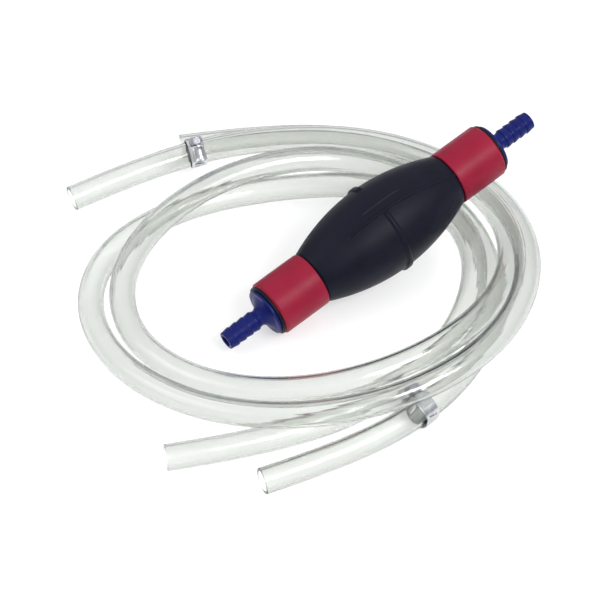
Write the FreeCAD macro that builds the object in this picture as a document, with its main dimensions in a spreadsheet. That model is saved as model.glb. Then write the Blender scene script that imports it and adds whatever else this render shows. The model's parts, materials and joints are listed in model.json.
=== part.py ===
import FreeCAD, Part
import math
import os
import Sketcher

# Hand primer pump with two loose hoses and a worm-drive clamp on each hose.
# Millimetres, +Z up.  The origin is under the middle of the pump, on the surface that it lies on.
# The pump's own axis is X in its local frame: water enters at -X and leaves at +X.

V = FreeCAD.Vector
Placement = FreeCAD.Placement
Rotation = FreeCAD.Rotation

doc = FreeCAD.newDocument("siphon_pump")
sheet = doc.addObject("Spreadsheet::Sheet", "Sheet")

DIMENSIONS = {
    # where the pump lies
    "pump_heading": 37.2,
    "pump_tilt": 12.8,
    # bulb: one rubber moulding with a neck and a lip at each end
    "belly_radius": 23.3,
    "belly_arc": 107.0,
    "shoulder_at": 43.7,
    "bulb_wall": 2.6,
    "cavity_end": 40.0,
    "neck_radius": 11.8,
    "neck_bore": 8.6,
    "lip_radius": 13.6,
    "lip_thickness": 1.5,
    "rib_height": 1.1,
    "rib_width": 4.0,
    "rib_sink": 0.6,
    # collar
    "collar_end": 70.7,
    "collar_radius": 14.5,
    "collar_bore": 11.9,
    "collar_chamfer": 0.9,
    "seat_gap": 0.05,
    # barbed fitting
    "tail_start": 53.0,
    "tail_radius": 8.5,
    "chamber_radius": 6.6,
    "chamber_end": 70.6,
    "flange_radius": 12.3,
    "flange_rim": 1.5,
    "cone_length": 4.6,
    "shank_radius": 4.4,
    "water_bore": 2.9,
    "barb_start": 80.3,
    "barb_pitch": 4.3,
    "barb_land": 0.6,
    "barb_radius": 5.2,
    "tip_at": 98.0,
    "tip_radius": 3.9,
    "tip_chamfer": 0.7,
    # one-way valve cartridge
    "cartridge_radius": 6.5,
    "seat_thickness": 2.0,
    "seat_orifice": 3.0,
    "poppet_radius": 4.2,
    "poppet_thickness": 1.5,
    "poppet_gap": 0.05,
    "stem_radius": 1.0,
    "stem_end": 12.5,
    "cage_at": 10.5,
    "cage_thickness": 2.5,
    "cage_ring_bore": 5.3,
    "cage_hub_radius": 2.6,
    "cage_hub_bore": 1.15,
    "cage_spoke_width": 1.2,
    "spoke_root": 0.4,
    "spring_radius": 1.8,
    "spring_wire": 0.22,
    "spring_turns": 5.0,
    "inlet_cartridge_at": -70.55,
    "outlet_cartridge_at": 56.0,
    # hoses
    "hose_outer": 6.5,
    "hose_inner": 5.0,
    # worm-drive clamps
    "band_bore": 7.4,
    "band_thickness": 0.5,
    "band_width": 8.5,
    "band_slot_length": 5.6,
    "band_slot_width": 1.0,
    "tail_arc": 58.0,
    "tail_from": 40.0,
    "lap_inside": 0.5,
    "lap_outside": 1.8,
    "housing_length": 8.8,
    "housing_width": 8.6,
    "housing_skirt": 0.8,
    "housing_gap": 0.05,
    "worm_bore": 2.9,
    "worm_radius": 2.6,
    "worm_root": 2.15,
    "worm_lead": 1.4,
    "worm_end": 4.7,
    "head_across": 6.5,
    "head_thickness": 3.9,
    "head_slot_width": 1.2,
    "head_slot_depth": 1.8,
}

for row, (alias, number) in enumerate(DIMENSIONS.items(), start=1):
    sheet.set(f"A{row}", alias)
    sheet.set(f"B{row}", str(number))
    sheet.setAlias(f"B{row}", alias)
doc.recompute()

BARBS = 4
WORM_TURNS = 5
CAGE_SPOKES = 3
BAND_SLOTS = 11
FIRST_SLOT = -7
SLOT_STEP = 16.0
SLOT_SLANT = 12.0
FULL_TURN = 360.0

# Control points of the two hoses' routes, from one open end to the other.
HOSE_1_ROUTE = [
    (-160.5, 44, 6.5), (-123, 67.5, 11), (-75, 82, 15.5), (-21.5, 85.5, 21), (31, 73.5, 24.5),
    (70, 42, 24.5), (83, -6, 21), (67.5, -59.5, 22.5), (30, -103.5, 29), (-21, -124, 27),
    (-75.5, -115.5, 17), (-121, -84.5, 9.5), (-143.5, -38, 6.5), (-133.5, 10, 6.5), (-92.5, 46, 6.5),
    (-36.5, 61.5, 7), (15, 50, 8.5), (44.5, 13.5, 8.5), (43.5, -35.5, 7), (16, -80.5, 6.5),
    (-25.5, -113.5, 6.5), (-69, -133, 6.5), (-108, -136.5, 6.5),
]
HOSE_2_ROUTE = [
    (-107.5, 88, 6.5), (-72, 98.5, 6.5), (-27, 99, 6.5), (20, 84, 7), (55, 50, 11.5),
    (68, 2, 19.5), (55, -46.5, 24), (18, -84, 22.5), (-32, -99, 14.5), (-82, -89, 7.5),
    (-118, -58.5, 8.5), (-128, -14.5, 15.5), (-109, 31, 21), (-68, 64, 19), (-17.5, 74.5, 12),
    (27.5, 58.5, 7), (56, 20, 6.5), (61, -30, 7), (41, -80, 8), (4.5, -119, 8),
    (-33, -142.5, 7), (-62.5, -151, 6.5),
]
# Each clamp: which run of its hose it is on, how far along that run, its lift off the hose's
# middle, and the angle that its housing is turned to about the hose (0 is straight up).
CLAMPS = {
    "clamp_1": (HOSE_1_ROUTE, 1, 0.6, 0.0, 52.0),
    "clamp_2": (HOSE_2_ROUTE, 18, 0.63, 0.05, 57.0),
}
ARC_SHARE = 0.45


def dim(alias):
    """A driving dimension from the sheet."""
    return float(sheet.get(alias))


def value(text):
    """The size of a signed sum such as 'tail_start+2*barb_pitch-0.5'."""
    total = 0.0
    for term in text.replace("-", "+-").split("+"):
        if not term:
            continue
        sign = -1.0 if term.startswith("-") else 1.0
        product = sign
        for factor in term.lstrip("-").split("*"):
            product *= dim(factor) if factor in DIMENSIONS else float(factor)
        total += product
    return total


def formula(text):
    """The same sum as an expression that reads the sheet."""
    for sign in "+-*":
        text = text.replace(sign, f" {sign} ")
    words = [f"Sheet.{word}" if word in DIMENSIONS else word for word in text.split()]
    return " ".join(words)


def origin_plane(body, role):
    """One of the body's own origin planes."""
    return next(f for f in body.Origin.OriginFeatures if f.Role == role)


def new_body(label):
    body = doc.addObject("PartDesign::Body", label)
    body.Label = label
    return body


def new_sketch(body, name, role="XY_Plane"):
    sketch = body.newObject("Sketcher::SketchObject", name)
    sketch.AttachmentSupport = [(origin_plane(body, role), "")]
    sketch.MapMode = "FlatFace"
    return sketch


def bind(sketch, constraint, text):
    """Add a dimension to a sketch and tie it to the sheet."""
    index = sketch.addConstraint(constraint)
    sketch.setExpression(f"Constraints[{index}]", formula(text))


def pin_point(sketch, geometry, end, x_text, y_text):
    """Fix one end of an edge at a place given by the sheet."""
    for kind, text in (("DistanceX", x_text), ("DistanceY", y_text)):
        bind(sketch, Sketcher.Constraint(kind, -1, 1, geometry, end, value(text)), text)


def closed_outline(sketch, corners):
    """Straight edges through corners, each a pair of sums, closed and fully dimensioned."""
    places = [V(value(x), value(y), 0) for x, y in corners]
    count = len(places)
    edges = []
    for i in range(count):
        edges.append(sketch.addGeometry(Part.LineSegment(places[i], places[(i + 1) % count])))
    for i in range(count):
        sketch.addConstraint(
            Sketcher.Constraint("Coincident", edges[i], 2, edges[(i + 1) % count], 1)
        )
        pin_point(sketch, edges[i], 1, *corners[i])


def turned(label, corners, placement):
    """A body of revolution about local X from an outline of (along, radius) pairs."""
    body = new_body(label)
    sketch = new_sketch(body, f"{label}_profile")
    closed_outline(sketch, corners)
    revolve(body, sketch)
    body.Placement = placement
    return body


def revolve(body, sketch):
    feature = body.newObject("PartDesign::Revolution", f"{sketch.Name}_turn")
    feature.Profile = sketch
    feature.ReferenceAxis = (sketch, ["H_Axis"])
    feature.Angle = FULL_TURN
    sketch.Visibility = False
    return feature


def rod(name, radius_text, length_text, along=0.0):
    """A cylinder along Z whose radius and height follow the sheet."""
    cylinder = doc.addObject("Part::Cylinder", name)
    cylinder.setExpression("Radius", formula(radius_text))
    cylinder.setExpression("Height", formula(length_text))
    cylinder.Placement.Base = V(0, 0, along)
    return cylinder


def cut(name, base, tool):
    result = doc.addObject("Part::Cut", name)
    result.Base = base
    result.Tool = tool
    return result


def fuse(name, pieces):
    result = doc.addObject("Part::MultiFuse", name)
    result.Shapes = pieces
    return result


# ---------------------------------------------------------------- the pump


def pump_placement():
    """The pump lies on the outer edge of its inlet collar, with the outlet end raised."""
    tilt = math.radians(dim("pump_tilt"))
    edge = value("collar_end-seat_gap-collar_chamfer")
    height = edge * math.sin(tilt) + dim("collar_radius") * math.cos(tilt)
    heading = Rotation(V(0, 0, 1), dim("pump_heading"))
    return Placement(V(0, 0, height), heading * Rotation(V(0, 1, 0), -dim("pump_tilt")))


def arc_top(radius_text, x):
    """Height above the axis of a belly arc at x."""
    centre = dim("belly_radius") - dim("belly_arc")
    return centre + math.sqrt(value(radius_text) ** 2 - x * x)


def belly_edge(sketch, radius_text, half_text):
    """An arc centred on the bulb's middle, ending at plus and minus half along the axis."""
    half = value(half_text)
    ends = arc_top(radius_text, half)
    middle = V(0, arc_top(radius_text, 0), 0)
    edge = sketch.addGeometry(Part.Arc(V(-half, ends, 0), middle, V(half, ends, 0)))
    pin_point(sketch, edge, 3, "0", "belly_radius-belly_arc")
    bind(sketch, Sketcher.Constraint("Radius", edge, value(radius_text)), radius_text)
    return edge


def chain(sketch, corners, first_edge, first_end, last_edge, last_end):
    """Straight edges from one arc's end through the given corners to another arc's end."""
    start = sketch.getPoint(first_edge, first_end)
    finish = sketch.getPoint(last_edge, last_end)
    places = [start] + [V(value(x), value(y), 0) for x, y in corners] + [finish]
    edges = []
    for a, b in zip(places, places[1:]):
        edges.append(sketch.addGeometry(Part.LineSegment(a, b)))
    joints = zip(edges, edges[1:])
    for (before, after), corner in zip(joints, corners):
        sketch.addConstraint(Sketcher.Constraint("Coincident", before, 2, after, 1))
        pin_point(sketch, after, 1, *corner)
    sketch.addConstraint(Sketcher.Constraint("Coincident", first_edge, first_end, edges[0], 1))
    sketch.addConstraint(Sketcher.Constraint("Coincident", edges[-1], 2, last_edge, last_end))
    sketch.addConstraint(Sketcher.Constraint("Vertical", edges[0]))
    sketch.addConstraint(Sketcher.Constraint("Vertical", edges[-1]))


def bulb(placement):
    """Hollow rubber bulb: belly, shoulders, necks with lips, and a rib round the middle."""
    body = new_body("bulb")
    sketch = new_sketch(body, "bulb_profile")
    outer = belly_edge(sketch, "belly_arc", "shoulder_at")
    inner = belly_edge(sketch, "belly_arc-bulb_wall", "cavity_end")
    ends = {}
    for edge in (outer, inner):
        points = {end: sketch.getPoint(edge, end) for end in (1, 2)}
        ends[edge] = sorted(points, key=lambda end: points[end].x)
    for sign, side in (("-", 0), ("", 1)):
        corners = [
            (f"{sign}shoulder_at", "neck_radius"),
            (f"{sign}collar_end", "neck_radius"),
            (f"{sign}collar_end", "lip_radius"),
            (f"{sign}collar_end{sign or '+'}lip_thickness", "lip_radius"),
            (f"{sign}collar_end{sign or '+'}lip_thickness", "neck_bore"),
            (f"{sign}cavity_end", "neck_bore"),
        ]
        chain(sketch, corners, outer, ends[outer][side], inner, ends[inner][side])
    revolve(body, sketch)
    rib = new_sketch(body, "rib_profile")
    closed_outline(
        rib,
        [
            ("-0.5*rib_width", "belly_radius-rib_sink"),
            ("-0.35*rib_width", "belly_radius+rib_height"),
            ("0.35*rib_width", "belly_radius+rib_height"),
            ("0.5*rib_width", "belly_radius-rib_sink"),
        ],
    )
    revolve(body, rib)
    body.Placement = placement
    return body


def collar(label, end):
    """Sleeve over the neck, chamfered at its outer end."""
    return turned(
        label,
        [
            ("shoulder_at+seat_gap", "collar_bore"),
            ("shoulder_at+seat_gap", "collar_radius"),
            ("collar_end-seat_gap-collar_chamfer", "collar_radius"),
            ("collar_end-seat_gap", "collar_radius-collar_chamfer"),
            ("collar_end-seat_gap", "collar_bore"),
        ],
        end,
    )


def fitting(label, end):
    """Hollow tail inside the neck, flange against the lip, and a hose barb with four ridges."""
    face = "collar_end+lip_thickness+seat_gap"
    outline = [
        ("tail_start", "chamber_radius"),
        ("tail_start", "tail_radius"),
        (face, "tail_radius"),
        (face, "flange_radius"),
        (f"{face}+flange_rim", "flange_radius"),
        (f"{face}+flange_rim+cone_length", "shank_radius"),
    ]
    for k in range(BARBS):
        ridge = f"barb_start+{k}*barb_pitch"
        outline.append((ridge, "shank_radius"))
        outline.append((ridge, "barb_radius"))
        outline.append((f"{ridge}+barb_land", "barb_radius"))
    outline += [
        ("tip_at-tip_chamfer", "tip_radius+0.5*tip_chamfer"),
        ("tip_at", "tip_radius"),
        ("tip_at", "water_bore"),
        ("chamber_end", "water_bore"),
        ("chamber_end", "chamber_radius"),
    ]
    return turned(label, outline, end)


def valve_seat(label, flow):
    """Ring that the poppet closes on."""
    return turned(
        label,
        [
            ("0", "seat_orifice"),
            ("0", "cartridge_radius"),
            ("seat_thickness", "cartridge_radius"),
            ("seat_thickness", "seat_orifice"),
        ],
        flow,
    )


def poppet(label, flow):
    """Disc with a guided stem; it lifts along the flow."""
    face = "seat_thickness+poppet_gap"
    return turned(
        label,
        [
            (face, "0"),
            (face, "poppet_radius"),
            (f"{face}+0.6*poppet_thickness", "poppet_radius"),
            (f"{face}+poppet_thickness", "2*stem_radius"),
            (f"{face}+poppet_thickness", "stem_radius"),
            ("stem_end", "stem_radius"),
            ("stem_end", "0"),
        ],
        flow,
    )


def along_z(flow):
    """The same placement for a piece that is modelled along Z instead of X."""
    return flow.multiply(Placement(V(0, 0, 0), Rotation(V(0, 1, 0), 90)))


def valve_cage(label, flow):
    """Outer ring and guide hub joined by spokes."""
    deep = "cage_thickness"
    start = dim("cage_at")
    ring = cut(
        f"{label}_ring",
        rod(f"{label}_ring_outside", "cartridge_radius", deep, start),
        rod(f"{label}_ring_bore", "cage_ring_bore", deep, start),
    )
    pieces = [ring, rod(f"{label}_hub", "cage_hub_radius", deep, start)]
    for k in range(CAGE_SPOKES):
        spoke = doc.addObject("Part::Box", f"{label}_spoke_{k}")
        spoke.setExpression("Length", formula("cage_ring_bore+spoke_root"))
        spoke.setExpression("Width", formula("cage_spoke_width"))
        spoke.setExpression("Height", formula(deep))
        turn = Rotation(V(0, 0, 1), k * FULL_TURN / CAGE_SPOKES)
        half_width = V(0, -dim("cage_spoke_width") / 2, 0)
        spoke.Placement = Placement(turn.multVec(half_width) + V(0, 0, start), turn)
        pieces.append(spoke)
    wheel = fuse(f"{label}_wheel", pieces)
    result = cut(label, wheel, rod(f"{label}_guide", "cage_hub_bore", deep, start))
    result.Placement = along_z(flow)
    return result


def valve_spring(label, flow):
    """Coil spring between the poppet's back and the cage's hub."""
    clear = dim("poppet_gap") + dim("spring_wire")
    start = dim("seat_thickness") + dim("poppet_gap") + dim("poppet_thickness") + clear
    height = dim("cage_at") - clear - start
    helix = doc.addObject("Part::Helix", f"{label}_line")
    helix.setExpression("Radius", formula("spring_radius"))
    helix.Height = height
    helix.Pitch = height / dim("spring_turns")
    helix.Placement.Base = V(0, 0, start)
    section = doc.addObject("Part::Circle", f"{label}_section")
    section.setExpression("Radius", formula("spring_wire"))
    section.Placement = Placement(V(dim("spring_radius"), 0, start), Rotation(V(1, 0, 0), 90))
    doc.recompute()
    result = doc.addObject("Part::Sweep", label)
    result.Sections = [section]
    result.Spine = (helix, [])
    result.Solid = True
    result.Frenet = True
    result.Placement = along_z(flow)
    return result


# ---------------------------------------------------------------- the hoses


def route_edges(points):
    """Straight runs joined by tangent arcs, as edges, and the arcs' radii."""
    places = [V(*p) for p in points]
    edges, radii = [], []
    here = places[0]
    for before, corner, after in zip(places, places[1:], places[2:]):
        back, ahead = before - corner, after - corner
        reach = ARC_SHARE * min(back.Length, ahead.Length)
        half_turn = (math.pi - back.getAngle(ahead)) / 2
        back.normalize()
        ahead.normalize()
        radius = reach / math.tan(half_turn)
        inward = (back + ahead).normalize()
        middle = corner + inward * (math.hypot(radius, reach) - radius)
        start, finish = corner + back * reach, corner + ahead * reach
        edges.append(Part.LineSegment(here, start).toShape())
        edges.append(Part.Arc(start, middle, finish).toShape())
        radii.append(radius)
        here = finish
    edges.append(Part.LineSegment(here, places[-1]).toShape())
    return edges, radii


def hose(label, points):
    """Plain round hose along its route, open at both ends."""
    edges, radii = route_edges(points)
    path = Part.Wire(edges)
    along = edges[0].tangentAt(edges[0].FirstParameter)
    circles = []
    for size in ("hose_outer", "hose_inner"):
        circles.append(Part.Wire(Part.makeCircle(dim(size), V(*points[0]), along)))
    solids = [path.makePipeShell([c], True, False) for c in circles]
    feature = doc.addObject("Part::Feature", label)
    feature.Label = label
    feature.Shape = solids[0].cut(solids[1])
    feature.Placement = Placement()
    section = math.pi * (dim("hose_outer") ** 2 - dim("hose_inner") ** 2)
    share = feature.Shape.Volume / (section * path.Length)
    print(f"{label}: length {path.Length:.1f}, volume share {share:.4f}")
    print(f"{label}: arc radii {' '.join(f'{r:.0f}' for r in radii)}")
    return feature


# ---------------------------------------------------------------- the clamps
# In a clamp's local frame X runs along the hose, and its housing stands on the +Z side.


def clamp_placement(points, run, share, lift, housing_turn):
    start, finish = V(*points[run]), V(*points[run + 1])
    along = (finish - start).normalize()
    side = V(0, 0, 1).cross(along).normalize()
    top = along.cross(side)
    basis = FreeCAD.Matrix(
        along.x, side.x, top.x, 0, along.y, side.y, top.y, 0, along.z, side.z, top.z, 0, 0, 0, 0, 1
    )
    centre = start + (finish - start) * share + V(0, 0, lift)
    turn = Rotation(V(1, 0, 0), housing_turn)
    return Placement(centre, Placement(basis).Rotation * turn)


def ring_along_x(label, outer_text, bore_text, arc_angle=FULL_TURN):
    """A band of metal round local X, centred on the clamp's middle."""
    pieces = []
    for name, text in (("outside", outer_text), ("bore", bore_text)):
        cylinder = doc.addObject("Part::Cylinder", f"{label}_{name}")
        cylinder.setExpression("Radius", formula(text))
        cylinder.setExpression("Height", formula("band_width"))
        cylinder.Angle = arc_angle if name == "outside" else FULL_TURN
        cylinder.Placement = Placement(V(-dim("band_width") / 2, 0, 0), Rotation(V(0, 1, 0), 90))
        pieces.append(cylinder)
    return cut(f"{label}_ring", *pieces)


def clamp_band(label, frame):
    """Perforated steel strip: a full ring, and its tail lapped over it."""
    ring = ring_along_x(f"{label}_inner", "band_bore+band_thickness", "band_bore")
    lap = ring_along_x(
        f"{label}_lap",
        "band_bore+lap_outside*band_thickness",
        "band_bore+lap_inside*band_thickness",
        dim("tail_arc"),
    )
    lap_turn = dim("tail_from") + dim("tail_arc")
    lap.Placement = Placement(V(0, 0, 0), Rotation(V(1, 0, 0), lap_turn))
    strip = fuse(f"{label}_strip", [ring, lap])
    slots = []
    for k in range(BAND_SLOTS):
        slot = doc.addObject("Part::Box", f"{label}_slot_{k}")
        slot.setExpression("Length", formula("band_slot_length"))
        slot.setExpression("Width", formula("band_slot_width"))
        slot.setExpression("Height", formula("3*band_thickness"))
        corner = V(-dim("band_slot_length"), -dim("band_slot_width"), 0) / 2
        low = V(0, 0, dim("band_bore") - dim("lap_inside") * dim("band_thickness"))
        middle = Placement(corner + low, Rotation())
        slant = Placement(V(0, 0, 0), Rotation(V(0, 0, 1), SLOT_SLANT))
        around = Placement(V(0, 0, 0), Rotation(V(1, 0, 0), (FIRST_SLOT + k) * SLOT_STEP))
        slot.Placement = around.multiply(slant).multiply(middle)
        slots.append(slot)
    result = cut(label, strip, fuse(f"{label}_slots", slots))
    result.Placement = frame
    return result


def worm_height():
    """Distance of the worm's axis from the clamp's middle."""
    return value("band_bore+lap_outside*band_thickness+2*housing_gap+worm_radius")


def along_y(frame, height):
    """A frame whose X runs along the clamp's Y, at a height above its middle."""
    return frame.multiply(Placement(V(0, 0, height), Rotation(V(0, 0, 1), 90)))


def clamp_housing(label, frame):
    """Stamped tunnel over the worm: straight sides, round top, and a saddle on the band."""
    length, width = dim("housing_length"), dim("housing_width")
    low = value("band_bore+band_thickness-housing_skirt")
    block = doc.addObject("Part::Box", f"{label}_sides")
    block.setExpression("Length", formula("housing_width"))
    block.setExpression("Width", formula("housing_length"))
    block.Height = worm_height() - low
    block.Placement.Base = V(-width / 2, -length / 2, low)
    lay_down = Rotation(V(1, 0, 0), -90)
    roof = rod(f"{label}_roof", "0.5*housing_width", "housing_length")
    roof.Placement = Placement(V(0, -length / 2, worm_height()), lay_down)
    tunnel = rod(f"{label}_tunnel", "worm_bore", "housing_length")
    tunnel.Placement = Placement(V(0, -length / 2, worm_height()), lay_down)
    saddle = rod(f"{label}_saddle", "band_bore+lap_outside*band_thickness+housing_gap", "housing_width")
    saddle.Placement = Placement(V(-width / 2, 0, 0), Rotation(V(0, 1, 0), 90))
    shell = fuse(f"{label}_shell", [block, roof])
    result = cut(label, shell, fuse(f"{label}_voids", [tunnel, saddle]))
    result.Placement = frame
    return result


def clamp_screw(label, frame):
    """Worm with its thread crests, and a slotted hexagon head outside the housing."""
    body = new_body(label)
    worm = new_sketch(body, f"{label}_worm")
    outline = [("-worm_end", "0"), ("-worm_end", "worm_root")]
    for k in range(WORM_TURNS):
        crest = f"-worm_end+{k}*worm_lead+worm_lead"
        outline.append((crest, "worm_root"))
        outline.append((f"{crest}+0.25*worm_lead", "worm_radius"))
        outline.append((f"{crest}+0.5*worm_lead", "worm_radius"))
        outline.append((f"{crest}+0.75*worm_lead", "worm_root"))
    outline += [("worm_end", "worm_root"), ("worm_end", "0")]
    closed_outline(worm, outline)
    revolve(body, worm)

    head = new_sketch(body, f"{label}_hexagon", "YZ_Plane")
    radius = dim("head_across") / math.sqrt(3)
    corners = []
    for k in range(6):
        angle = math.radians(60 * k)
        corners.append(V(radius * math.cos(angle), radius * math.sin(angle), 0))
    sides = [
        head.addGeometry(Part.LineSegment(corners[k], corners[(k + 1) % 6])) for k in range(6)
    ]
    guide = head.addGeometry(Part.Circle(V(0, 0, 0), V(0, 0, 1), radius), True)
    head.addConstraint(Sketcher.Constraint("Coincident", guide, 3, -1, 1))
    for k in range(6):
        after = sides[(k + 1) % 6]
        head.addConstraint(Sketcher.Constraint("Coincident", sides[k], 2, after, 1))
        head.addConstraint(Sketcher.Constraint("PointOnObject", sides[k], 1, guide))
        if k:
            head.addConstraint(Sketcher.Constraint("Equal", sides[0], sides[k]))
    head.addConstraint(Sketcher.Constraint("PointOnObject", sides[0], 1, -1))
    index = head.addConstraint(Sketcher.Constraint("Radius", guide, radius))
    head.setExpression(f"Constraints[{index}]", "Sheet.head_across / sqrt(3)")
    head.AttachmentOffset = Placement(V(0, 0, dim("worm_end")), Rotation())
    pad = body.newObject("PartDesign::Pad", f"{label}_head")
    pad.Profile = head
    pad.setExpression("Length", formula("head_thickness"))
    doc.recompute()

    slot = new_sketch(body, f"{label}_driver_slot", "YZ_Plane")
    closed_outline(
        slot,
        [
            ("-head_across", "-0.5*head_slot_width"),
            ("head_across", "-0.5*head_slot_width"),
            ("head_across", "0.5*head_slot_width"),
            ("-head_across", "0.5*head_slot_width"),
        ],
    )
    slot.AttachmentOffset = Placement(V(0, 0, dim("worm_end") + dim("head_thickness")), Rotation())
    pocket = body.newObject("PartDesign::Pocket", f"{label}_slot")
    pocket.Profile = slot
    pocket.setExpression("Length", formula("head_slot_depth"))
    doc.recompute()
    removed = pad.Shape.Volume - pocket.Shape.Volume
    if removed <= 0:
        raise RuntimeError(f"{label}: the driver slot cuts nothing")
    body.Placement = along_y(frame, worm_height())
    return body


# ---------------------------------------------------------------- the assembly

pump = pump_placement()
outlet_end = pump
inlet_end = pump.multiply(Placement(V(0, 0, 0), Rotation(V(0, 0, 1), 180)))
flows = {
    "inlet": pump.multiply(Placement(V(dim("inlet_cartridge_at"), 0, 0), Rotation())),
    "outlet": pump.multiply(Placement(V(dim("outlet_cartridge_at"), 0, 0), Rotation())),
}

nodes = [bulb(pump)]
for side, end in (("inlet", inlet_end), ("outlet", outlet_end)):
    nodes.append(collar(f"{side}_collar", end))
    nodes.append(fitting(f"{side}_fitting", end))
for side, flow in flows.items():
    nodes.append(valve_seat(f"{side}_valve_seat", flow))
    nodes.append(poppet(f"{side}_poppet", flow))
    nodes.append(valve_spring(f"{side}_valve_spring", flow))
    nodes.append(valve_cage(f"{side}_valve_cage", flow))
nodes.append(hose("hose_1", HOSE_1_ROUTE))
nodes.append(hose("hose_2", HOSE_2_ROUTE))
for name, setting in CLAMPS.items():
    frame = clamp_placement(*setting)
    nodes.append(clamp_band(f"{name}_band", frame))
    nodes.append(clamp_housing(f"{name}_housing", frame))
    nodes.append(clamp_screw(f"{name}_screw", frame))
    axis = frame.Rotation.multVec(V(1, 0, 0))
    screw = along_y(frame, worm_height())
    turn = screw.Rotation.multVec(V(1, 0, 0))
    print(f"{name}: middle {frame.Base}, slide {axis}, screw at {screw.Base}, axis {turn}")
print(f"pump: middle {pump.Base}, axis {pump.Rotation.multVec(V(1, 0, 0))}")

doc.recompute()
failed = [o.Name for o in doc.Objects if {"Invalid", "Error"} & set(o.State)]
if failed:
    raise RuntimeError(f"these objects failed: {failed}")
for node in nodes:
    if node.Shape.isNull() or not node.Shape.isValid():
        raise RuntimeError(f"{node.Label} has no valid shape")
os.makedirs("parts", exist_ok=True)
for node in nodes:
    node.Shape.exportStep(f"parts/{node.Label}.step")
    print(f"{node.Label}: {len(node.Shape.Solids)} solid, {node.Shape.Volume:.1f} mm3")
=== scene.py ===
import json
import math

import bmesh
import bpy
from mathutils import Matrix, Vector


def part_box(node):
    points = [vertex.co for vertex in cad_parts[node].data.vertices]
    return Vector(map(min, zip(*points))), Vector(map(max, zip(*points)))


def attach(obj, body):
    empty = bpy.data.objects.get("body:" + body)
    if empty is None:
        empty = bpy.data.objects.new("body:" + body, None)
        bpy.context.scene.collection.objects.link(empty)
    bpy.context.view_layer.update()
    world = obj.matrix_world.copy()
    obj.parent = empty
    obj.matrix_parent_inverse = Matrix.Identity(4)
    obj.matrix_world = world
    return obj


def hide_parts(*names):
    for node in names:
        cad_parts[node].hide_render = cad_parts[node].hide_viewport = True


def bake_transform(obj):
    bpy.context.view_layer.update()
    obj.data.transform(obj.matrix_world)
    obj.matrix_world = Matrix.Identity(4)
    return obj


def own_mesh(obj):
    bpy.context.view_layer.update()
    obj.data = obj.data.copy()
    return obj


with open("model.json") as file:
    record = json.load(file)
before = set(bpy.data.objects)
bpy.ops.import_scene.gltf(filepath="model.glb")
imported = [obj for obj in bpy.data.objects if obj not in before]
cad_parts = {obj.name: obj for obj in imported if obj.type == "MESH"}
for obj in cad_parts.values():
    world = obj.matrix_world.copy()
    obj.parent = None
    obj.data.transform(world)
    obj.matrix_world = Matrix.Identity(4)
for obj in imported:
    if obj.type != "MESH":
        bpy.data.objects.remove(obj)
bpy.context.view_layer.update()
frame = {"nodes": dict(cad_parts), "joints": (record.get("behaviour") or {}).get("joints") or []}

MM = 0.001
UP = Vector((0, 0, 1))

# The pump's own axes: along it towards the outlet, its top, and its side that faces front right.
ALONG = Vector(next(j for j in frame["joints"] if j["name"] == "bulb_squeeze")["axis"]).normalized()
TOP = (UP - UP.dot(ALONG) * ALONG).normalized()
SIDE = ALONG.cross(TOP)


def box_middle(node):
    """The middle of a CAD node's box."""
    low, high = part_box(node)
    return (low + high) / 2


MIDDLE = (box_middle("inlet_fitting") + box_middle("outlet_fitting")) / 2

# Driving sizes in millimetres, along the pump from its middle or out from its axis.
BELLY_RADIUS = 23.3
SHOULDER_RADIUS = 14.0
SHOULDER = 43.7
RIB_HEIGHT, RIB_WIDTH = 1.1, 3.6
COLLAR_RADIUS, COLLAR_BORE, COLLAR_END = 14.5, 11.9, 70.7
LIP_RADIUS, LIP_END = 13.6, 72.2
FLANGE_RADIUS, FLANGE_END = 12.3, 73.7
CONE_END = 78.3
BARB_START, BARB_PITCH, BARBS = 80.3, 4.3, 4
BARB_RADIUS, SHANK_RADIUS, VALLEY_RADIUS = 5.2, 4.4, 4.75
TIP, WATER_BORE = 98.0, 2.9
SPRING_RADIUS, SPRING_WIRE, SPRING_TURNS = 1.8, 0.22, 5.0
NECK_RADIUS, NECK_BORE, BULB_WALL = 11.8, 8.7, 1.6
SEAM_HEIGHT, MARK_HEIGHT, MARK_MIDDLE, MARK_HALF = 0.85, 0.45, 2.0, 12.5
HOSE_RADIUS, HOSE_BORE = 6.5, 5.0

# Angles about the pump, in degrees from its top towards its front right side.
SEAM_ANGLE, SEAM_WANDER, MARK_ANGLE = 22.0, 17.0, 7.0

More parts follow.
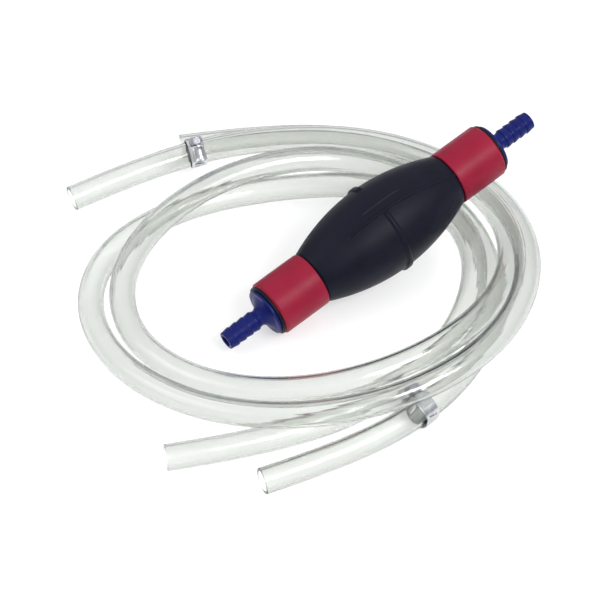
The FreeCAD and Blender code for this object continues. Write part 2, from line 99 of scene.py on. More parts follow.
# Control points of the hoses' routes, in millimetres, from one open end to the other. They weren't chosen
# by hand: scratch programs fitted most of them to the photo, and four were typed in afterwards. part.py has
# another list for the same hoses, and these stay within 12 mm of its tubes.
HOSE_1_ROUTE = [
    (-157.5, 48, 6.5), (-108.5, 73.7, 12.6), (-54, 86.5, 15.5), (-3, 83, 17), (40, 59, 19.5),
    (68, 17.5, 25.5), (74.5, -32.5, 31), (57.5, -79, 31.5), (18.5, -111.5, 28.5), (-33, -123.5, 22.5),
    (-85.5, -113, 16.5), (-127, -82, 12.5), (-146.5, -37.5, 10.5), (-137.5, 8, 8.5), (-102, 41.5, 6.5),
    (-51.5, 57.5, 6.5), (0, 54, 11.5), (37, 29.5, 16.5), (50, -11.5, 18), (38, -56.5, 12.5),
    (4.5, -92.5, 6.5), (-46, -122, 6.5), (-103, -134, 6.5),
]
HOSE_2_ROUTE = [
    (-102.5, 88.5, 6.5), (-48.5, 99.4, 6.5), (6, 92, 6.5), (45, 66, 7), (66, 25.5, 10),
    (65.5, -21.5, 18), (44, -64.5, 25), (5.5, -94, 24.5), (-42.5, -104, 19), (-89, -92.5, 14),
    (-122, -63, 13), (-130.5, -22.5, 16), (-112, 19, 20), (-74.5, 52.5, 21), (-29.5, 70, 17.5),
    (13.5, 64, 10.5), (44.5, 35.5, 6.5), (57.5, -7.5, 6.5), (52.5, -54, 6.5), (29, -96, 8),
    (-10.5, -129.3, 8), (-57.5, -149, 6.5),
]


# ---------------------------------------------------------------- meshes

def add_mesh(name, points, faces, smooth=True):
    """A mesh object from points in metres and faces, with the faces of a closed one turned outward."""
    mesh = bpy.data.meshes.new(name)
    mesh.from_pydata([tuple(p) for p in points], [], faces)
    if smooth:
        mesh.shade_smooth()
    work = bmesh.new()
    work.from_mesh(mesh)
    if work.calc_volume(signed=True) < 0:
        bmesh.ops.reverse_faces(work, faces=work.faces)
    work.to_mesh(mesh)
    work.free()
    piece = bpy.data.objects.new(name, mesh)
    bpy.context.scene.collection.objects.link(piece)
    return piece


def rounded(corners, steps=5):
    """An outline through (along, out, fillet radius) corners, in millimetres, with each corner an arc."""
    line = []
    count = len(corners)
    for i, (s, r, fillet) in enumerate(corners):
        here = Vector((s, r))
        before = Vector(corners[i - 1][:2]) - here
        after = Vector(corners[(i + 1) % count][:2]) - here
        reach = min(before.length, after.length) * 0.49
        half = before.angle(after, math.pi) / 2
        cut = min(fillet / max(math.tan(half), 1e-6), reach)
        if fillet <= 0 or half > 1.55:
            line.append(here)
            continue
        start, end = here + before.normalized() * cut, here + after.normalized() * cut
        for k in range(steps + 1):
            t = k / steps
            line.append(start * (1 - t) ** 2 + here * 2 * t * (1 - t) + end * t ** 2)
    return line


def pump_point(s, angle, r):
    """A point on the pump in metres: s millimetres along its axis and r out, at an angle from its top."""
    out = TOP * math.cos(angle) + SIDE * math.sin(angle)
    return MIDDLE + (ALONG * s + out * r) * MM


def spin(name, outline, end, sides=96):
    """A closed outline of (along, out) points spun about the pump's axis. end -1 mirrors it to the inlet."""
    rings = len(outline)
    points, faces = [], []
    for k in range(sides):
        angle = math.tau * k / sides
        for s, r in outline:
            points.append(pump_point(s * end, angle, r))
    for k in range(sides):
        a, b = k * rings, (k + 1) % sides * rings
        for i in range(rings):
            j = (i + 1) % rings
            faces.append((a + i, a + j, b + j, b + i))
    return add_mesh(name, points, faces)


# ---------------------------------------------------------------- materials

def material(name, **values):
    """A material and its shader, with constant values on the shader's own sockets."""
    made = bpy.data.materials.new(name)
    made.use_nodes = True
    shader = made.node_tree.nodes["Principled BSDF"]
    for socket, value in values.items():
        shader.inputs[socket.replace("_", " ")].default_value = value
    return made, made.node_tree, shader


def texture(tree, kind, scale, stretch=(1, 1, 1), coordinate="Object", **values):
    """A procedural texture's first output, on the object's own coordinates or its UVs."""
    where = tree.nodes.new("ShaderNodeTexCoord")
    mapping = tree.nodes.new("ShaderNodeMapping")
    mapping.inputs["Scale"].default_value = stretch
    tree.links.new(where.outputs[coordinate], mapping.inputs["Vector"])
    node = tree.nodes.new(kind)
    tree.links.new(mapping.outputs["Vector"], node.inputs["Vector"])
    node.inputs["Scale"].default_value = scale
    for socket, value in values.items():
        node.inputs[socket].default_value = value
    return node.outputs[0]


def ramp(tree, source, stops, socket):
    """Colours or greys along a texture's value, linked to a shader socket."""
    node = tree.nodes.new("ShaderNodeValToRGB")
    tree.links.new(source, node.inputs["Fac"])
    elements = node.color_ramp.elements
    while len(elements) < len(stops):
        elements.new(0.5)
    for element, (place, colour) in zip(elements, stops):
        element.position = place
        element.color = colour if len(colour) == 4 else (*colour, 1)
    tree.links.new(node.outputs["Color"], socket)


def grey(value):
    """A value as a grey colour."""
    return (value, value, value)


def bump(tree, shader, layers):
    """Bumps from several (source, height in metres) layers, one after another."""
    normal = None
    for source, distance in layers:
        node = tree.nodes.new("ShaderNodeBump")
        node.inputs["Distance"].default_value = distance
        node.inputs["Strength"].default_value = 1.0
        tree.links.new(source, node.inputs["Height"])
        if normal:
            tree.links.new(normal, node.inputs["Normal"])
        normal = node.outputs["Normal"]
    tree.links.new(normal, shader.inputs["Normal"])


def moulded(name, dark, light, rough, grain, **values):
    """A moulded plastic or rubber: slow colour drift, uneven gloss and a fine grain."""
    made, tree, shader = material(name, **values)
    drift = texture(tree, "ShaderNodeTexNoise", 60, Detail=4.0)
    ramp(tree, drift, [(0.3, dark), (0.7, light)], shader.inputs["Base Color"])
    sheen = texture(tree, "ShaderNodeTexNoise", 180, Detail=6.0)
    ramp(tree, sheen, [(0.25, grey(rough[0])), (0.75, grey(rough[1]))], shader.inputs["Roughness"])
    fine = texture(tree, "ShaderNodeTexNoise", 2600, Detail=2.0)
    slow = texture(tree, "ShaderNodeTexNoise", 220, Detail=3.0)
    bump(tree, shader, [(slow, grain * 2), (fine, grain)])
    return made


def rubber():
    return moulded("black_rubber", (0.0040, 0.0048, 0.0115), (0.0065, 0.0072, 0.0165), (0.40, 0.50),
                   0.00004, Specular_IOR_Level=0.12)


def red_plastic():
    return moulded("red_plastic", (0.235, 0.005, 0.025), (0.270, 0.008, 0.032), (0.36, 0.48),
                   0.00003, Specular_IOR_Level=0.18)


def blue_plastic():
    return moulded("blue_plastic", (0.005, 0.009, 0.100), (0.008, 0.014, 0.130), (0.26, 0.38),
                   0.00002, Specular_IOR_Level=0.12)


def valve_plastic():
    return moulded("white_plastic", (0.62, 0.62, 0.58), (0.70, 0.70, 0.66), (0.4, 0.5), 0.00002)


def steel(name, dark, light, rough):
    """Pressed strip steel, faintly rolled along its length."""
    made, tree, shader = material(name, Metallic=1.0)
    drift = texture(tree, "ShaderNodeTexNoise", 240, Detail=5.0)
    ramp(tree, drift, [(0.3, dark), (0.7, light)], shader.inputs["Base Color"])
    rolled = texture(tree, "ShaderNodeTexNoise", 900, stretch=(1, 1, 8), Detail=3.0)
    ramp(tree, rolled, [(0.3, grey(rough[0])), (0.7, grey(rough[1]))], shader.inputs["Roughness"])
    bump(tree, shader, [(rolled, 0.00002)])
    return made


def clear_vinyl():
    """Clear flexible hose, pale with a slight green tint through its wall."""
    made, tree, shader = material(
        "clear_vinyl", Transmission_Weight=1.0, IOR=1.44, Specular_IOR_Level=0.5,
        Base_Color=(0.962, 0.967, 0.958, 1), Roughness=0.09)
    wave = texture(tree, "ShaderNodeTexNoise", 2.0, stretch=(1.2, 0.25, 1), coordinate="UV", Detail=1.0)
    drawn = texture(tree, "ShaderNodeTexNoise", 5.0, stretch=(4, 0.04, 1), coordinate="UV", Detail=1.0)
    bump(tree, shader, [(wave, 0.0003), (drawn, 0.00012)])
    depth = tree.nodes.new("ShaderNodeVolumeAbsorption")
    depth.inputs["Color"].default_value = (0.80, 0.813, 0.797, 1)
    depth.inputs["Density"].default_value = 440.0
    tree.links.new(depth.outputs["Volume"], tree.nodes["Material Output"].inputs["Volume"])
    return made


def paint(piece, made):
    """The piece in one material only."""
    piece.data.materials.clear()
    piece.data.materials.append(made)


# ---------------------------------------------------------------- hoses

def route_line(name, route):
    """Points in metres along the smooth NURBS line of a route."""
    curve = bpy.data.curves.new(name, "CURVE")
    curve.dimensions = "3D"
    spline = curve.splines.new("NURBS")
    spline.points.add(len(route) - 1)
    for point, (x, y, z) in zip(spline.points, route):
        point.co = (x * MM, y * MM, z * MM, 1)
    spline.order_u = 3
    spline.use_endpoint_u = True
    spline.resolution_u = 18
    holder = bpy.data.objects.new(name, curve)
    mesh = bpy.data.meshes.new_from_object(holder)
    line = [v.co.copy() for v in mesh.vertices]
    bpy.data.objects.remove(holder)
    bpy.data.meshes.remove(mesh)
    return line


def ring_frames(line):
    """For each point of a line, two directions across it that never twist."""
    tangents = [(line[min(i + 1, len(line) - 1)] - line[max(i - 1, 0)]).normalized()
                for i in range(len(line))]
    across = -UP
    frames = []
    for tangent in tangents:
        across = (across - across.dot(tangent) * tangent).normalized()
        frames.append((across, tangent.cross(across)))
    return frames


def hose(name, line, sides=40):
    """A hollow tube along a line, open at both ends, with its cut edges slightly rounded."""
    frames = ring_frames(line)
    last = len(line) - 1
    end_rings = [(0.0, -0.30), (0.08, -0.10), (0.30, 0.0), (0.7, 0.0)]
    outside = [(0, push, HOSE_RADIUS + inset) for push, inset in end_rings]
    outside += [(i, 0.0, HOSE_RADIUS) for i in range(1, last)]
    outside += [(last, -push, HOSE_RADIUS + inset) for push, inset in reversed(end_rings)]
    inside = [(last, -push, HOSE_BORE - inset) for push, inset in end_rings]
    inside += [(i, 0.0, HOSE_BORE) for i in range(last - 1, 0, -1)]
    inside += [(0, push, HOSE_BORE - inset) for push, inset in reversed(end_rings)]
    middle = (HOSE_RADIUS + HOSE_BORE) / 2
    loops = outside + [(last, 0.0, middle)] + inside + [(0, 0.0, middle)]
    run = [0.0]
    for a, b in zip(line, line[1:]):
        run.append(run[-1] + (b - a).length)
    points = []
    for i, push, radius in loops:
        a, b = frames[i]
        centre = line[i] + a.cross(b) * push * MM
        for k in range(sides):
            angle = math.tau * k / sides
            points.append(centre + (a * math.cos(angle) + b * math.sin(angle)) * radius * MM)
    faces, places = [], []
    count = len(loops)
    for i in range(count):
        j = (i + 1) % count
        for k in range(sides):
            n = (k + 1) % sides
            faces.append((i * sides + k, i * sides + n, j * sides + n, j * sides + k))
            for ring, side in ((i, k), (i, k + 1), (j, k + 1), (j, k)):
                along = run[loops[ring][0]] + loops[ring][1] * MM
                places.append((side / sides, along / (math.tau * HOSE_RADIUS * MM)))
    piece = add_mesh(name, points, faces)
    layer = piece.data.uv_layers.new(name="UVMap")
    for loop, place in zip(layer.data, places):
        loop.uv = place
    return piece


def make_hoses():
    vinyl = clear_vinyl()
    for number, route in ((1, HOSE_1_ROUTE), (2, HOSE_2_ROUTE)):
        line = route_line(f"route_{number}", route)
        piece = hose(f"hose_{number}_tube", line)
        paint(piece, vinyl)
        piece.visible_shadow = False
        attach(piece, "hoses")
        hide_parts(f"hose_{number}")


# ---------------------------------------------------------------- pump

def bulb_radius(s):
    """Outer radius of the plain bulb: a parabola from the belly down to each shoulder."""
    return BELLY_RADIUS - (BELLY_RADIUS - SHOULDER_RADIUS) * (s / SHOULDER) ** 2


def step(x, start, end):
    """A smooth 0 to 1 as x goes from start to end."""
    t = min(max((x - start) / (end - start), 0.0), 1.0)
    return t * t * (3 - 2 * t)


def wrapped(angle):
    """An angle in degrees between -180 and 180."""
    return (math.degrees(angle) + 180) % 360 - 180


def seam_angle(s):
    """The parting line runs straight over the belly and drifts forward near the outlet."""
    return SEAM_ANGLE + SEAM_WANDER * max(s / SHOULDER, 0) ** 2


def bulb_relief(s, angle):
    """Height in millimetres of the rib, parting line and mark that stand out of the bulb."""
    a = wrapped(angle)
    r = bulb_radius(s)
    face = step(a, 10, 20) * step(a, 112, 96)
    width = RIB_WIDTH - 1.2 * face
    rib = (RIB_HEIGHT - 0.35 * face) * step(abs(s), width / 2 + 0.35, width / 2 - 0.6)
    rib *= 1 - step(a, -32, -26) * (1 - step(a, 24, 27))
    off = math.radians(a - seam_angle(s)) * r
    seam = SEAM_HEIGHT * step(abs(off), 1.2, 0.1) * step(s, -33, -16)
    line = math.radians(a - MARK_ANGLE) * r
    bar = MARK_HEIGHT * step(abs(line), 1.5, 0.8) * step(abs(s - MARK_MIDDLE), MARK_HALF, MARK_HALF - 1.1)
    return max(rib, seam, bar)


def bulb_skin():
    """The squeezed part of the bulb, from shoulder to shoulder, closed over a thin wall."""
    along = sorted({round(-SHOULDER + i * 2 * SHOULDER / 180, 4) for i in range(181)}
                   | {round(s, 4) for s in (-2.35, -2.0, -1.6, -1.25, 1.25, 1.6, 2.0, 2.35)})
    angles = sorted({i * 1.5 for i in range(240)}
                    | {SEAM_ANGLE + i * 0.4 for i in range(-6, 50)}
                    | {MARK_ANGLE + i * 0.5 for i in range(-10, 11)})
    columns, points, faces = len(angles), [], []
    for s in along:
        edge = 0.5 * (1 - step(SHOULDER - abs(s), 0, 0.8))
        for a in angles:
            angle = math.radians(a)
            points.append(pump_point(s, angle, bulb_radius(s) + bulb_relief(s, angle) - edge))
    inner = [s for s in along[::6]] + [along[-1]]
    for s in reversed(inner):
        for a in angles:
            points.append(pump_point(s, math.radians(a), bulb_radius(s) - BULB_WALL))
    rows = len(along) + len(inner)
    for i in range(rows):
        j = (i + 1) % rows
        for k in range(columns):
            n = (k + 1) % columns
            faces.append((i * columns + k, i * columns + n, j * columns + n, j * columns + k))
    return add_mesh("bulb_skin", points, faces)


def bulb_neck(name, end):
    """The bulb's neck inside the collar, with its lip outside and a dome under the shoulder."""
    dome_length, dome_foot, dome_rise = 7, 8.2, 5.3
    corners = []
    for t in (0.0, 0.25, 0.5, 0.75, 1.0):
        r = dome_foot + dome_rise * math.sin(math.pi / 2 * t)
        corners.append((SHOULDER - dome_length + dome_length * t, r, 0.0))
    corners += [(SHOULDER + 0.2, 13.3, 0.1), (SHOULDER + 0.25, NECK_RADIUS, 0.1),
                (COLLAR_END + 0.1, NECK_RADIUS, 0.0), (COLLAR_END + 0.1, LIP_RADIUS, 0.5),
                (LIP_END, LIP_RADIUS, 0.6), (LIP_END, NECK_BORE, 0.2), (SHOULDER - 4, NECK_BORE, 0.2)]
    return spin(name, rounded(corners), end)


def collar(name, end):
    """A plain red sleeve with softened edges and a chamfer at its outer end."""
    near = SHOULDER + 0.35
    corners = [(near, COLLAR_BORE, 0.15), (near, COLLAR_RADIUS, 0.7), (near + 8, COLLAR_RADIUS + 0.04, 0),
               (COLLAR_END - 8, COLLAR_RADIUS + 0.04, 0), (COLLAR_END - 0.9, COLLAR_RADIUS, 0.5),
               (COLLAR_END, COLLAR_RADIUS - 0.9, 0.5), (COLLAR_END, COLLAR_BORE, 0.25)]
    return spin(name, rounded(corners), end)


def fitting(name, end):
    """A barbed hose fitting: rim, hollowed cone and four sawtooth ridges."""
    corners = [(LIP_END + 0.05, WATER_BORE, 0), (LIP_END + 0.05, FLANGE_RADIUS, 0.5),
               (FLANGE_END, FLANGE_RADIUS, 0.5)]
    cone_radius, hollow = 9.6, 2.1
    for t in (0, 0.12, 0.25, 0.4, 0.55, 0.7, 0.85, 1):
        r = SHANK_RADIUS + (cone_radius - SHANK_RADIUS) * (1 - t) ** hollow
        corners.append((FLANGE_END + 0.1 + (CONE_END - FLANGE_END) * t, r, 0.3))
    for k in range(BARBS):
        s = BARB_START + k * BARB_PITCH
        corners += [(s - 0.3, VALLEY_RADIUS, 0.25), (s, BARB_RADIUS, 0.25), (s + 0.8, BARB_RADIUS, 0.4),
                    (s + 3.4, VALLEY_RADIUS, 0.5)]
    corners += [(TIP, VALLEY_RADIUS, 0.6), (TIP, WATER_BORE, 0.35)]
    return spin(name, rounded(corners, 4), end, sides=112)


def make_pump():
    black, red, blue = rubber(), red_plastic(), blue_plastic()
    skin = bulb_skin()
    paint(skin, black)
    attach(skin, "pump")
    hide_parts("bulb")
    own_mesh(skin)
    for side, end, body in (("inlet", -1, "pump"), ("outlet", 1, "outlet_end")):
        neck = bulb_neck(f"bulb_{side}_neck", end)
        paint(neck, black)
        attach(neck, body)
        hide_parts("bulb")
        sleeve = collar(f"{side}_collar_sleeve", end)
        paint(sleeve, red)
        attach(sleeve, body)
        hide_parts(f"{side}_collar")
        barb = fitting(f"{side}_barbed_fitting", end)
        paint(barb, blue)
        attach(barb, body)
        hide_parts(f"{side}_fitting")


# ---------------------------------------------------------------- clamps

BAND_WIDTH, BAND_BORE, BAND_THICKNESS = 8.0, 7.42, 0.46
LAP_BORE, LAP_THICKNESS = 7.92, 0.36
CELLS, SLOT_SLANT, SLOTTED_ARC, LONE_SLOT = 22, 12.0, 66.0, 131.0
WORM_HEIGHT, WORM_HALF, WORM_ROOT, WORM_CREST, WORM_LEAD = 11.0, 4.7, 2.1, 2.6, 1.4
HEAD_ACROSS, HEAD_THICKNESS, DRIVER_WIDTH, DRIVER_DEPTH = 6.5, 3.9, 1.2, 1.8
TUNNEL_HALF, TUNNEL_RADIUS, TUNNEL_WALL, SADDLE_RADIUS = 4.2, 4.05, 0.6, 8.34


def joint(name):
    """The frame's joint of that name."""
    return next(j for j in frame["joints"] if j["name"] == name)


def clamp_frame(number):
    """The clamp's middle, and its axes along the hose, along the worm and out to the housing."""
    turn = joint(f"clamp_{number}_screw_turn")
    hose_way = Vector(joint(f"clamp_{number}_slide")["axis"]).normalized()
    worm_way = Vector(turn["axis"]).normalized()
    out_way = hose_way.cross(worm_way)
    return Vector(turn["pos_m"]) - out_way * WORM_HEIGHT * MM, hose_way, worm_way, out_way


def placed(axes, x, y, z):
    """A point in metres from a clamp's own millimetres."""
    middle, hose_way, worm_way, out_way = axes
    return middle + (hose_way * x + worm_way * y + out_way * z) * MM


def applied(piece):
    """The piece with its modifiers made part of its mesh."""
    mesh = bpy.data.meshes.new_from_object(piece.evaluated_get(bpy.context.evaluated_depsgraph_get()))
    old = piece.data
    piece.modifiers.clear()
    piece.data = mesh
    bpy.data.meshes.remove(old)
    return piece


def softened(piece, width, segments=2):
    """Small rounded edges all over."""
    edge = piece.modifiers.new("edge", "BEVEL")
    edge.width, edge.segments, edge.limit_method = width * MM, segments, "ANGLE"
    edge.angle_limit = math.radians(35)
    return applied(piece)


def slotted_strip(name, axes, bore, thickness, first, count):
    """Strip round the hose in count cells. Those near the housing, and a lone one, have a slanted slot."""
    pitch = 360 / CELLS
    half_u, half_v = math.radians(pitch) / 2 * (bore + thickness / 2), BAND_WIDTH / 2
    slot_u, slot_v = 0.62, 2.65
    slant = math.radians(SLOT_SLANT)
    rim = [(half_u, half_v * (i / 3 - 1)) for i in range(6)]
    rim += [(half_u * (1 - i / 2), half_v) for i in range(4)]
    rim += [(-half_u, half_v * (1 - i / 3)) for i in range(6)]
    rim += [(half_u * (i / 2 - 1), -half_v) for i in range(4)]
    hole = []
    for u, v in rim:
        t = math.atan2(v / half_v, u / half_u)
        a = math.copysign(abs(math.cos(t)) ** 0.5, math.cos(t)) * slot_u
        b = math.copysign(abs(math.sin(t)) ** 0.5, math.sin(t)) * slot_v
        hole.append((a * math.cos(slant) - b * math.sin(slant), a * math.sin(slant) + b * math.cos(slant)))
    work = bmesh.new()
    middle_radius = bore + thickness / 2

    def corner(centre, u, v):
        angle = centre + u / middle_radius
        return work.verts.new(placed(axes, v, bore * math.sin(angle), bore * math.cos(angle)))

    for cell in range(count):
        turn = (first + cell * pitch + 180) % 360 - 180
        centre = math.radians(turn)
        if abs(turn) > SLOTTED_ARC and abs(turn - LONE_SLOT) > pitch / 2:
            grid = [[corner(centre, half_u * (i / 2 - 1), half_v * (j / 3 - 1)) for j in range(7)]
                    for i in range(5)]
            for i in range(4):
                for j in range(6):
                    work.faces.new((grid[i][j], grid[i][j + 1], grid[i + 1][j + 1], grid[i + 1][j]))
            continue
        halfway = [((u + p) / 2, (v + q) / 2) for (u, v), (p, q) in zip(rim, hole)]
        rings = [[corner(centre, u, v) for u, v in ring] for ring in (rim, halfway, hole)]
        for outer, inner in zip(rings, rings[1:]):
            for i in range(len(rim)):
                n = (i + 1) % len(rim)
                work.faces.new((outer[i], outer[n], inner[n], inner[i]))
    bmesh.ops.remove_doubles(work, verts=work.verts, dist=0.00002)
    bmesh.ops.recalc_face_normals(work, faces=work.faces)
    mesh = bpy.data.meshes.new(name)
    work.to_mesh(mesh)
    work.free()
    piece = bpy.data.objects.new(name, mesh)
    bpy.context.scene.collection.objects.link(piece)
    outward = placed(axes, 0, 0, 1) - placed(axes, 0, 0, 0)
    top = max(mesh.polygons, key=lambda f: f.center.dot(outward))
    skin = piece.modifiers.new("skin", "SOLIDIFY")
    skin.thickness = thickness * MM
    skin.offset = 1.0 if top.normal.dot(outward) > 0 else -1.0
    skin.use_even_offset = True
    applied(piece)
    softened(piece, 0.09, 1)
    return piece


def tunnel(name, axes):
    """Pressed steel arch over the worm, pinched at its waist and saddled on the band."""
    arch = [math.pi * k / 24 for k in range(25)]
    stations = [-1, -0.97, -0.86, -0.76, -0.66, -0.4, 0, 0.4, 0.66, 0.76, 0.86, 0.97, 1]
    points, faces = [], []
    for wall in (0.0, TUNNEL_WALL):
        for t in stations:
            y = t * TUNNEL_HALF
            pinch = 0.42 * step(abs(t), 0.86, 0.68) + 0.12 * step(abs(t), 0.95, 1.0)
            radius = TUNNEL_RADIUS - wall - pinch
            foot = math.sqrt(SADDLE_RADIUS ** 2 - y * y)
            row = [(TUNNEL_RADIUS - wall, foot), (TUNNEL_RADIUS - wall, foot + 0.5)]
            row += [(radius, WORM_HEIGHT - 0.9)]
            row += [(radius * math.cos(a), WORM_HEIGHT + radius * math.sin(a)) for a in arch]
            row += [(-x, z) for x, z in row[2::-1]]
            points += [placed(axes, x, y, z) for x, z in row]
    columns, rows = len(arch) + 6, len(stations)
    size = columns * rows
    for r in range(rows - 1):
        for c in range(columns - 1):
            a, b = r * columns + c, (r + 1) * columns + c
            faces.append((a, a + 1, b + 1, b))
            faces.append((size + a, size + b, size + b + 1, size + a + 1))
        for c, flip in ((0, 1), (columns - 1, -1)):
            a, b = r * columns + c, (r + 1) * columns + c
            faces.append((a, b, size + b, size + a)[::flip])
    for r, flip in ((0, -1), (rows - 1, 1)):
        for c in range(columns - 1):
            a = r * columns + c
            faces.append((a, a + 1, size + a + 1, size + a)[::flip])
    return softened(add_mesh(name, points, faces), 0.1)


def closed_grid(rows, columns):
    """Faces of a tube of rows by columns points, with a fan at each end."""
    faces = []
    for r in range(rows - 1):
        for c in range(columns):
            n = (c + 1) % columns
            faces.append((r * columns + c, r * columns + n, (r + 1) * columns + n, (r + 1) * columns + c))
    faces.append(tuple(range(columns))[::-1])
    faces.append(tuple((rows - 1) * columns + c for c in range(columns)))
    return faces


def worm_screw(name, axes):
    """The worm's helical thread and its slotted hexagon head, in one piece."""
    sides, rows = 48, 95
    points = []
    for r in range(rows):
        y = -WORM_HALF + r * (2 * WORM_HALF + 0.1) / (rows - 1)
        fade = step(abs(y), WORM_HALF, WORM_HALF - 0.6)
        for c in range(sides):
            angle = math.tau * c / sides
            phase = (y / WORM_LEAD - c / sides) % 1.0
            crest = step(abs(phase - 0.5), 0.42, 0.14) * fade
            radius = WORM_ROOT + (WORM_CREST - WORM_ROOT) * crest
            points.append(placed(axes, radius * math.sin(angle), y, WORM_HEIGHT + radius * math.cos(angle)))
    thread = add_mesh(name + "_thread", points, closed_grid(rows, sides))

    points = []
    outline = [(0.0, 0.86), (0.25, 0.97), (0.5, 1.0), (HEAD_THICKNESS - 0.7, 1.0),
               (HEAD_THICKNESS - 0.25, 0.95), (HEAD_THICKNESS, 0.84)]
    for out, share in outline:
        for c in range(sides):
            angle = math.tau * c / sides
            flat = math.cos((angle + math.pi / 6) % (math.pi / 3) - math.pi / 6)
            radius = min(HEAD_ACROSS / 2 / flat, HEAD_ACROSS / 2 * 1.12 * share ** 2.2)
            points.append(placed(axes, radius * math.sin(angle), WORM_HALF + out,
                                 WORM_HEIGHT + radius * math.cos(angle)))
    head = add_mesh(name, points, closed_grid(len(outline), sides), smooth=False)
    low = WORM_HALF + HEAD_THICKNESS - DRIVER_DEPTH
    corners = [(x, y, WORM_HEIGHT + z) for y in (low, low + 3) for x in (-4, 4)
               for z in (-DRIVER_WIDTH / 2, DRIVER_WIDTH / 2)]
    blade = add_mesh(name + "_blade", [placed(axes, *p) for p in corners],
                     [(0, 1, 3, 2), (4, 6, 7, 5), (0, 4, 5, 1), (2, 3, 7, 6), (0, 2, 6, 4), (1, 5, 7, 3)])
    slot = head.modifiers.new("slot", "BOOLEAN")
    slot.object, slot.operation, slot.solver = blade, "DIFFERENCE", "EXACT"
    bpy.context.view_layer.update()
    applied(head)
    bpy.data.objects.remove(blade)
    softened(head, 0.12)
    joined = bmesh.new()
    joined.from_mesh(head.data)
    joined.from_mesh(thread.data)
    joined.to_mesh(head.data)
    joined.free()
    bpy.data.objects.remove(thread)
    return head


def make_clamps():
    bright = steel("clamp_steel", (0.50, 0.51, 0.53), (0.72, 0.73, 0.75), (0.14, 0.26))
    dull = steel("screw_steel", (0.30, 0.29, 0.33), (0.46, 0.45, 0.49), (0.20, 0.34))
    for number in (1, 2):
        axes = clamp_frame(number)
        label = f"clamp_{number}"
        pitch = 360 / CELLS
        pieces = [
            (slotted_strip(f"{label}_strip", axes, BAND_BORE, BAND_THICKNESS, 0, CELLS),
             label, "band", "clamp_steel", bright),
            (slotted_strip(f"{label}_tail", axes, LAP_BORE, LAP_THICKNESS, -2 * pitch, 7),
             label, "band", "clamp_steel", bright),
            (tunnel(f"{label}_tunnel", axes), label, "housing", "clamp_steel", bright),
            (worm_screw(f"{label}_worm_screw", axes), f"{label}_worm", "screw", "screw_steel", dull)]
        for piece, body, part, slot, made in pieces:
            paint(piece, made)
            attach(piece, body)
            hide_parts(f"{label}_{part}")


def valve_spring(side):
    """A coil spring between poppet and cage, in place of the CAD one."""
    node = frame["nodes"][f"{side}_valve_spring"]
    along = [(node.matrix_world @ v.co - MIDDLE).dot(ALONG) / MM for v in node.data.vertices]
    low, high = min(along) + SPRING_WIRE, max(along) - SPRING_WIRE
    steps, sides = 240, 12
    points, faces = [], []
    for i in range(steps + 1):
        s = low + (high - low) * i / steps
        angle = math.tau * SPRING_TURNS * i / steps
        for k in range(sides):
            a = math.tau * k / sides
            points.append(pump_point(s + SPRING_WIRE * math.cos(a), angle,
                                     SPRING_RADIUS + SPRING_WIRE * math.sin(a)))
    for i in range(steps):
        for k in range(sides):
            a, b = i * sides + k, i * sides + (k + 1) % sides
            faces.append((a, b, b + sides, a + sides))
    faces.append(tuple(range(sides))[::-1])
    faces.append(tuple(range(steps * sides, (steps + 1) * sides)))
    return add_mesh(f"{side}_spring_coil", points, faces), low, high


def finish_inner_parts():
    """Seats, cages and poppets keep their CAD shapes. The springs are replaced by new coils."""
    white = valve_plastic()
    wire = steel("spring_steel", (0.40, 0.40, 0.42), (0.55, 0.55, 0.57), (0.22, 0.34))
    for name, node in frame["nodes"].items():
        if "valve_seat" in name or "valve_cage" in name or "poppet" in name:
            paint(node, white)
    for side, still in (("inlet", "pump"), ("outlet", "outlet_end")):
        coil, low, high = valve_spring(side)
        paint(coil, wire)
        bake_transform(coil)
        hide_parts(f"{side}_valve_spring")


# ---------------------------------------------------------------- stage

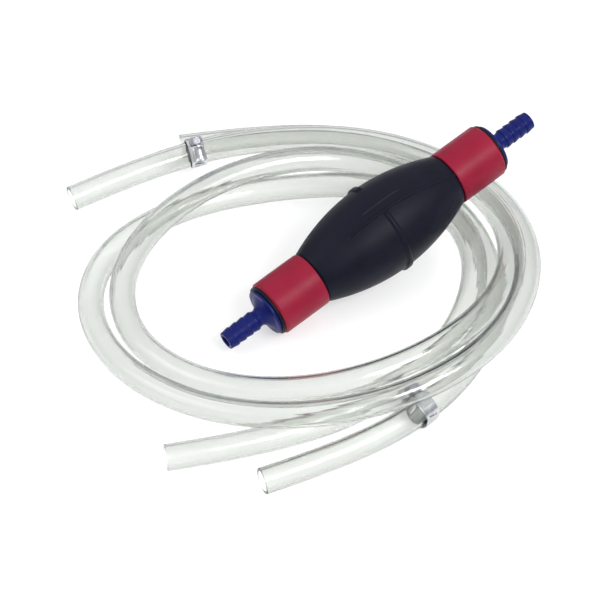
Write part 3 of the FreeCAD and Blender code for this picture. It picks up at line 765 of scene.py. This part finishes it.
def make_stage():
    """A plain floor that renders white. Half its brightness is its own, so that shadows on it are faint."""
    half, z = 3.0, -0.3 * MM
    floor = add_mesh("floor", [(-half, -half, z), (half, -half, z), (half, half, z), (-half, half, z)],
                     [(0, 1, 2, 3)])
    made = material("floor_white", Base_Color=(0.52, 0.52, 0.52, 1), Roughness=0.9, Specular_IOR_Level=0.1,
                    Emission_Color=(1, 1, 1, 1), Emission_Strength=0.50)[0]
    paint(floor, made)


def area_light(name, place, size, power):
    """A white rectangular light that points at the origin."""
    light = bpy.data.lights.new(name, "AREA")
    light.shape = "RECTANGLE"
    light.size, light.size_y = size
    light.energy = power
    holder = bpy.data.objects.new(name, light)
    holder.location = place
    holder.rotation_euler = (-Vector(place)).to_track_quat("-Z", "Y").to_euler()
    bpy.context.scene.collection.objects.link(holder)


def make_light():
    """A pale sky that is darker near the horizon, with a key light and a weak fill."""
    world = bpy.data.worlds.new("studio")
    world.use_nodes = True
    tree = world.node_tree
    background = tree.nodes["Background"]
    background.inputs["Strength"].default_value = 1.0
    where = tree.nodes.new("ShaderNodeTexCoord")
    parts = tree.nodes.new("ShaderNodeSeparateXYZ")
    tree.links.new(where.outputs["Generated"], parts.inputs["Vector"])
    ramp(tree, parts.outputs["Z"], [(0.02, (0.42, 0.42, 0.45)), (0.30, (0.50, 0.51, 0.54)),
                                    (0.62, (0.96, 0.97, 0.99)), (1.0, (1.0, 1.0, 1.0))],
         background.inputs["Color"])
    bpy.context.scene.world = world
    area_light("key", (0.75, -0.75, 1.15), (0.8, 0.5), 13.0)
    area_light("fill", (-1.1, -0.3, 0.9), (0.9, 0.9), 3.0)
    bpy.context.scene.view_settings.view_transform = "Standard"


def make_camera():
    """The viewing angle: 44 degrees above the floor, from the front."""
    target = Vector((-0.03985, -0.02056, 0))
    elevation, distance = math.radians(44), 1.44
    camera = bpy.data.cameras.new("camera")
    camera.lens, camera.sensor_width = 172.8, 36
    holder = bpy.data.objects.new("camera", camera)
    holder.location = target + Vector((0, -math.cos(elevation), math.sin(elevation))) * distance
    holder.rotation_euler = (target - holder.location).to_track_quat("-Z", "Y").to_euler()
    bpy.context.scene.collection.objects.link(holder)
    bpy.context.scene.camera = holder


make_camera()
make_stage()
make_light()
make_pump()
make_clamps()
make_hoses()
finish_inner_parts()

cycles = bpy.context.scene.cycles
cycles.max_bounces, cycles.transmission_bounces, cycles.transparent_max_bounces = 24, 24, 32
